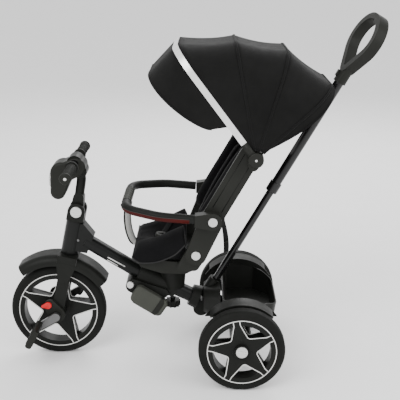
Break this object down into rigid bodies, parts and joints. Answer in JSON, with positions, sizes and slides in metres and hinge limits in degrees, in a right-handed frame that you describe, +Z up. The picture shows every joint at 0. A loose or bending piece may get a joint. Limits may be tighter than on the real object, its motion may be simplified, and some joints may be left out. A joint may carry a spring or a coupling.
{
  "type": "children's tricycle",
  "caption": "Children's push tricycle with pedals, turning reclining seat, safety bar, folding sun canopy, rear basket and telescopic parent handle.",
  "frame": {"origin": "on the ground, at the middle of the length and width", "axes": "+X towards the rear (it rolls towards -X), +Y its right-hand side, +Z up"},
  "size_m": [1.1085, 0.5, 1.0524],
  "materials": {
    "black_frame": "satin powder coat",
    "black_plastic": "fine moulded grain",
    "charcoal_plastic": "satin moulded",
    "gloss_tube": "gloss black",
    "silver_cap": "silver coated",
    "silver_bow": "brushed",
    "rim_plastic": "satin",
    "tyre_foam": "foam rubber",
    "steel": "zinc plated",
    "red_plastic": "gloss",
    "grip_rubber": "soft",
    "lens": "clear",
    "grey_tray": "satin",
    "fabric_black": "woven",
    "fabric_seat": "woven",
    "webbing": "webbing",
    "strap_grey": "webbing",
    "leather": "stitched"
  },
  "bodies": {
    "frame": {"head_tube": "black_frame", "main_beam": "black_frame", "beam_sleeve": "black_plastic", "seat_pedestal": "black_plastic", "rear_housing": "black_plastic", "rear_axle": "steel", "axle_carrier": "black_plastic", "basket": "black_plastic", "rear_mudguards": "black_plastic", "foot_rest_caps": "silver_cap"},
    "steering": {"fork": "black_plastic", "front_mudguard": "black_plastic", "freewheel_covers": "charcoal_plastic", "stem_base": "black_plastic"},
    "freewheel_lever": {"freewheel_lever": "red_plastic"},
    "fold_button": {"fold_button": "silver_cap"},
    "handlebar": {"stem": "black_plastic", "handlebar": "gloss_tube", "grips": "grip_rubber", "headlamp_pod": "charcoal_plastic", "lamp_lens": "lens"},
    "front_wheel": {"front_rim": "rim_plastic", "front_tyre": "tyre_foam"},
    "crank": {"crank": "steel"},
    "pedal_left": {"pedal_left": "charcoal_plastic"},
    "pedal_right": {"pedal_right": "charcoal_plastic"},
    "rear_wheel_left": {"rear_rim_left": "rim_plastic", "rear_tyre_left": "tyre_foam", "hub_cap_left": "silver_cap"},
    "rear_wheel_right": {"rear_rim_right": "rim_plastic", "rear_tyre_right": "tyre_foam", "hub_cap_right": "silver_cap"},
    "foot_rest_left": {"foot_rest_left": "grey_tray"},
    "foot_rest_right": {"foot_rest_right": "grey_tray"},
    "lock_knob": {"lock_knob": "black_plastic"},
    "seat": {"seat_shell": "charcoal_plastic", "seat_pad": "fabric_seat"},
    "recline_button_left": {"recline_button_left": "silver_cap"},
    "recline_button_right": {"recline_button_right": "silver_cap"},
    "back": {"back_shell": "charcoal_plastic", "back_pad": "fabric_seat", "recline_strap": "webbing", "shoulder_straps": "webbing", "canopy_hubs": "charcoal_plastic", "canopy_rib_rear": "black_plastic"},
    "safety_bar": {"bar_clamps": "charcoal_plastic", "safety_bar": "leather", "bar_caps": "silver_cap", "crotch_strap": "strap_grey"},
    "canopy_middle": {"canopy_rib_middle": "black_plastic", "canopy_panel_rear": "fabric_black"},
    "canopy_front": {"canopy_rib_front": "black_plastic", "canopy_panel_middle": "fabric_black"},
    "canopy_bow": {"canopy_bow": "silver_bow", "canopy_panel_front": "fabric_black", "canopy_visor": "fabric_black"},
    "push_pole": {"pole_lower": "gloss_tube"},
    "pole_slider": {"pole_upper": "gloss_tube", "push_handle": "charcoal_plastic"},
    "height_button": {"height_button": "charcoal_plastic"}
  },
  "joints": [
    {"name": "steer", "type": "hinge", "parent": "frame", "child": "steering", "pos_m": [-0.40774, 0, 0.147], "axis": [0.2147, 0, 0.9767], "range_deg": [-40, 40]},
    {"name": "freewheel_lever_turn", "type": "hinge", "parent": "steering", "child": "freewheel_lever", "pos_m": [-0.43174, 0, 0.18], "axis": [0, 1, 0], "range_deg": [0, 60]},
    {"name": "fold_button_press", "type": "slide", "parent": "steering", "child": "fold_button", "axis": [0, 1, 0], "range_m": [0, 0.003], "stiffness_N_per_m": 300},
    {"name": "handlebar_fold", "type": "hinge", "parent": "steering", "child": "handlebar", "pos_m": [-0.33674, 0, 0.472], "axis": [0, 1, 0], "range_deg": [-75, 0]},
    {"name": "front_wheel_spin", "type": "hinge", "parent": "steering", "child": "front_wheel", "pos_m": [-0.40774, 0, 0.147], "axis": [0, 1, 0], "continuous": true},
    {"name": "crank_spin", "type": "hinge", "parent": "steering", "child": "crank", "pos_m": [-0.40774, 0, 0.147], "axis": [0, 1, 0], "continuous": true},
    {"name": "pedal_left_spin", "type": "hinge", "parent": "crank", "child": "pedal_left", "pos_m": [-0.4688, 0, 0.10885], "axis": [0, 1, 0], "continuous": true},
    {"name": "pedal_right_spin", "type": "hinge", "parent": "crank", "child": "pedal_right", "pos_m": [-0.34668, 0, 0.18515], "axis": [0, 1, 0], "continuous": true},
    {"name": "rear_wheel_left_spin", "type": "hinge", "parent": "frame", "child": "rear_wheel_left", "pos_m": [0.15426, -0.225, 0.125], "axis": [0, 1, 0], "continuous": true},
    {"name": "rear_wheel_right_spin", "type": "hinge", "parent": "frame", "child": "rear_wheel_right", "pos_m": [0.15426, 0.225, 0.125], "axis": [0, 1, 0], "continuous": true},
    {"name": "lock_knob_turn", "type": "hinge", "parent": "frame", "child": "lock_knob", "pos_m": [-0.05174, 0, 0.181], "axis": [0, 0, 1], "continuous": true},
    {"name": "seat_turn", "type": "hinge", "parent": "frame", "child": "seat", "pos_m": [-0.05274, 0, 0.3], "axis": [0, 0, 1], "range_deg": [-120, 120]},
    {"name": "recline_button_left_press", "type": "slide", "parent": "back", "child": "recline_button_left", "axis": [0, 1, 0], "range_m": [0, 0.003], "stiffness_N_per_m": 300},
    {"name": "recline_button_right_press", "type": "slide", "parent": "back", "child": "recline_button_right", "axis": [0, -1, 0], "range_m": [0, 0.003], "stiffness_N_per_m": 300},
    {"name": "recline", "type": "hinge", "parent": "seat", "child": "back", "pos_m": [0.02226, 0, 0.382], "axis": [0, 1, 0], "range_deg": [-18, 0]},
    {"name": "safety_bar_lift", "type": "hinge", "parent": "back", "child": "safety_bar", "pos_m": [0.07026, 0, 0.494], "axis": [0, 1, 0], "range_deg": [0, 75]},
    {"name": "canopy_fold", "type": "hinge", "parent": "back", "child": "canopy_middle", "pos_m": [0.18726, 0, 0.673], "axis": [0, 1, 0], "range_deg": [0, 20], "deforming": ["canopy_panel_rear"]},
    {"name": "canopy_front_fold", "type": "hinge", "parent": "canopy_middle", "child": "canopy_front", "pos_m": [0.18726, 0, 0.673], "axis": [0, 1, 0], "range_deg": [0, 20], "deforming": ["canopy_panel_middle"]},
    {"name": "canopy_bow_fold", "type": "hinge", "parent": "canopy_front", "child": "canopy_bow", "pos_m": [0.18726, 0, 0.673], "axis": [0, 1, 0], "range_deg": [0, 20], "deforming": ["canopy_panel_front"]},
    {"name": "push_pole_turn", "type": "hinge", "parent": "frame", "child": "push_pole", "pos_m": [0.07926, 0, 0.242], "axis": [0.4962, 0, 0.8682], "range_deg": [-35, 35]},
    {"name": "pole_height", "type": "slide", "parent": "push_pole", "child": "pole_slider", "axis": [0.4962, 0, 0.8682], "range_m": [-0.24, 0]},
    {"name": "height_button_press", "type": "slide", "parent": "pole_slider", "child": "height_button", "axis": [0.8682, 0, -0.4962], "range_m": [0, 0.002], "stiffness_N_per_m": 300},
    {"name": "foot_rest_left_fold", "type": "hinge", "parent": "frame", "child": "foot_rest_left", "pos_m": [-0.17828, -0.057, 0.20194], "axis": [0.8387, 0, -0.5446], "range_deg": [0, 86]},
    {"name": "foot_rest_right_fold", "type": "hinge", "parent": "frame", "child": "foot_rest_right", "pos_m": [-0.17828, 0.057, 0.20194], "axis": [-0.8387, 0, 0.5446], "range_deg": [0, 86]}
  ],
  "couplings": [
    {"joint": "crank_spin", "follows": "front_wheel_spin", "ratio": 1},
    {"joint": "canopy_front_fold", "follows": "canopy_fold", "ratio": 1},
    {"joint": "canopy_bow_fold", "follows": "canopy_fold", "ratio": 1}
  ]
}
